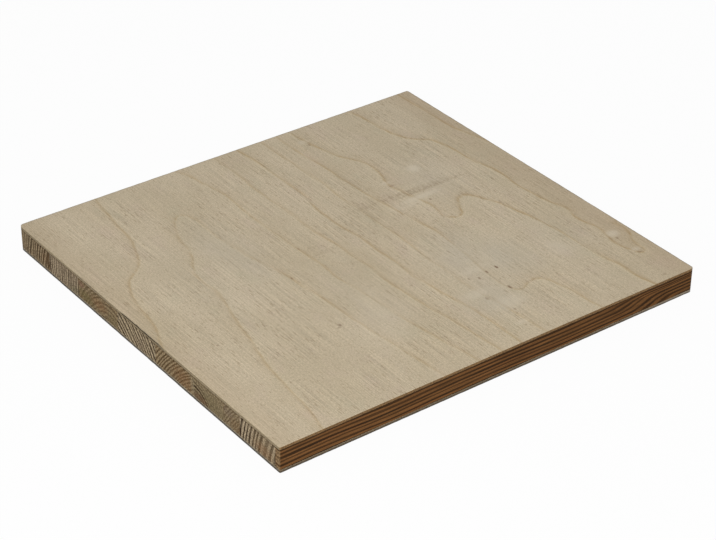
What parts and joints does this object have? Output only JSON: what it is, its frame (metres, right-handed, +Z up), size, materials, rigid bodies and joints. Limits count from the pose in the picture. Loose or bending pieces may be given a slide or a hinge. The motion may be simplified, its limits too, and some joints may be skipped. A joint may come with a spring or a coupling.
{
  "type": "blockboard",
  "caption": "Small sawn panel of three-ply blockboard: softwood core strips laid edge to edge between two pale cross-grained face veneers; it lies flat.",
  "frame": {"origin": "middle of the panel's underside", "axes": "+X along the core strips, +Y across them from the front edge (narrow outer strip) to the back edge, +Z up out of the top face"},
  "size_m": [0.32, 0.297, 0.018],
  "materials": {
    "face_veneer": "sanded, unfinished rotary-cut veneer",
    "back_veneer": "sanded, unfinished rotary-cut veneer",
    "core_brown": "sawn softwood",
    "core_reddish": "sawn softwood",
    "core_olive": "sawn softwood"
  },
  "bodies": {
    "root": {"veneer_top": "face_veneer", "veneer_bottom": "back_veneer", "core_strip_1": "core_brown", "core_strip_2": "core_brown", "core_strip_3": "core_reddish", "core_strip_4": "core_olive", "core_strip_5": "core_reddish", "core_strip_6": "core_brown", "core_strip_7": "core_olive", "core_strip_8": "core_brown", "core_strip_9": "core_brown"}
  },
  "joints": []
}
